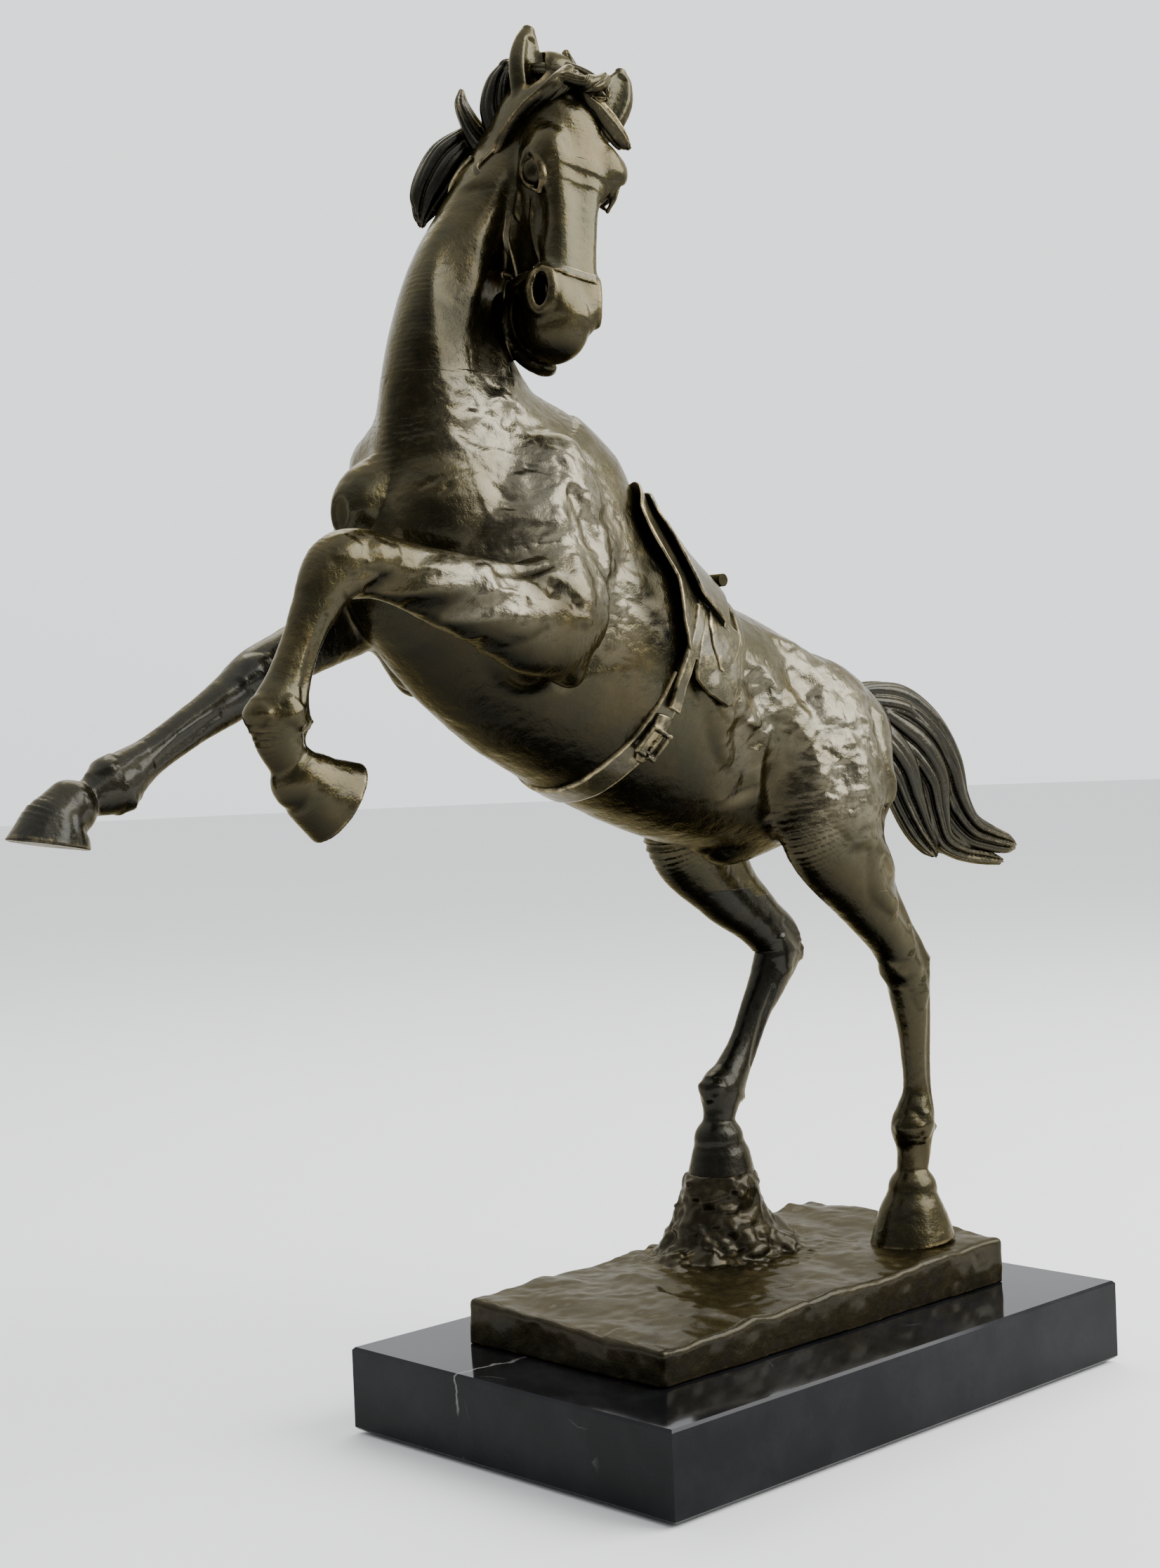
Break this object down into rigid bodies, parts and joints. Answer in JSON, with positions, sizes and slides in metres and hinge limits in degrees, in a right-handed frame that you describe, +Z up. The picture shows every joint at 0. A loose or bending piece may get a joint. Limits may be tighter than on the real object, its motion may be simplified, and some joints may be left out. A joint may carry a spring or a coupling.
{
  "type": "bronze horse statue",
  "caption": "Cast bronze rearing horse with saddle and halter, head turned to its left, standing on a rough bronze ground slab bolted to a polished black marble plinth.",
  "frame": {"origin": "centre of the plinth's underside, on the felt pad that the statue stands on", "axes": "+Z up; the horse faces -X; its left side faces -Y"},
  "size_m": [0.5776, 0.205, 0.6207],
  "materials": {
    "bronze": "brown patinated cast bronze, waxed, lightly rubbed on the high places",
    "dark_bronze": "dark patinated cast bronze",
    "rubbed_bronze": "pale rubbed bronze",
    "marble": "polished black marble with thin white veins",
    "felt": "green baize",
    "steel": "zinc plated"
  },
  "bodies": {
    "root": {"felt_pad": "felt", "marble_plinth": "marble", "front_stud": "steel", "rear_stud": "steel", "front_washer": "steel", "rear_washer": "steel", "front_nut": "steel", "rear_nut": "steel", "left_hoof_dowel": "steel", "right_hoof_dowel": "steel", "ground_casting": "bronze", "rock_mound": "bronze", "torso_casting": "bronze", "neck_casting": "bronze", "head_casting": "bronze", "lower_jaw": "bronze", "right_ear": "bronze", "left_ear": "bronze", "mane": "dark_bronze", "forelock": "bronze", "tail": "dark_bronze", "left_fore_leg": "bronze", "right_fore_leg": "dark_bronze", "left_hind_leg": "bronze", "right_hind_leg": "dark_bronze", "left_fore_hoof": "bronze", "right_fore_hoof": "dark_bronze", "left_hind_hoof": "bronze", "right_hind_hoof": "dark_bronze", "saddle_blanket": "rubbed_bronze", "saddle_seat": "rubbed_bronze", "left_skirt": "rubbed_bronze", "right_skirt": "rubbed_bronze", "left_flap": "rubbed_bronze", "right_flap": "rubbed_bronze", "left_billet": "rubbed_bronze", "right_billet": "rubbed_bronze", "girth_strap": "rubbed_bronze", "girth_buckle": "rubbed_bronze", "strap_tongue": "rubbed_bronze", "buckle_prong": "rubbed_bronze", "cantle_roll": "rubbed_bronze", "noseband": "rubbed_bronze", "left_cheek_strap": "rubbed_bronze", "right_cheek_strap": "rubbed_bronze", "throat_latch": "rubbed_bronze"}
  },
  "joints": []
}
